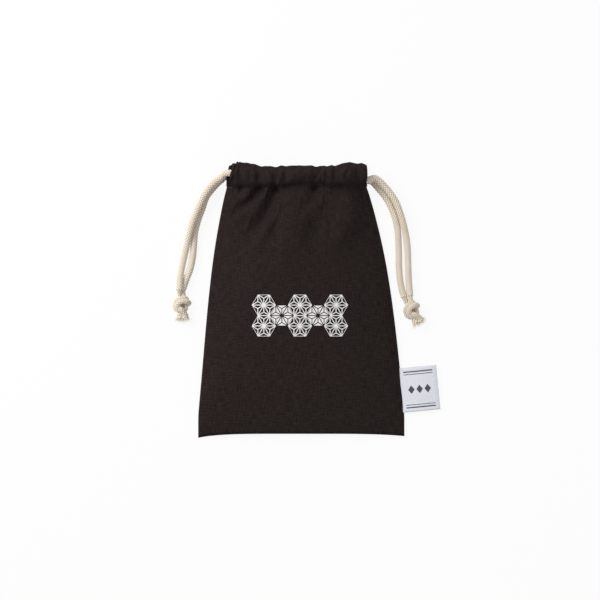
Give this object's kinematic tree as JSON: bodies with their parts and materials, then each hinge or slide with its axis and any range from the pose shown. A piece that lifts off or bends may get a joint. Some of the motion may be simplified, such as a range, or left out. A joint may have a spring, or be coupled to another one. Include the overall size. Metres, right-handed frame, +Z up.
{
  "type": "kinchaku drawstring pouch",
  "caption": "Flat cotton drawstring pouch lying on its back, its mouth gathered by two knotted braided cords, with a folded ribbon label in one side seam.",
  "frame": {"origin": "on the surface that the pouch lies on, under the middle of the bag, on the flat of its back", "axes": "+Y from the bottom fold towards the gathered mouth, +Z up out of the front, +X to the side with the label"},
  "size_m": [0.1943, 0.1982, 0.0239],
  "materials": {
    "black_cotton": "matte plain-woven cotton, warm black",
    "label_ribbon": "smooth woven ribbon, cool white",
    "ecru_cord": "soft braided cotton, natural"
  },
  "bodies": {
    "root": {"pouch_cloth": "black_cotton", "side_label": "label_ribbon", "left_drawcord": "ecru_cord", "left_knot": "ecru_cord", "right_drawcord": "ecru_cord", "right_knot": "ecru_cord"}
  },
  "joints": []
}
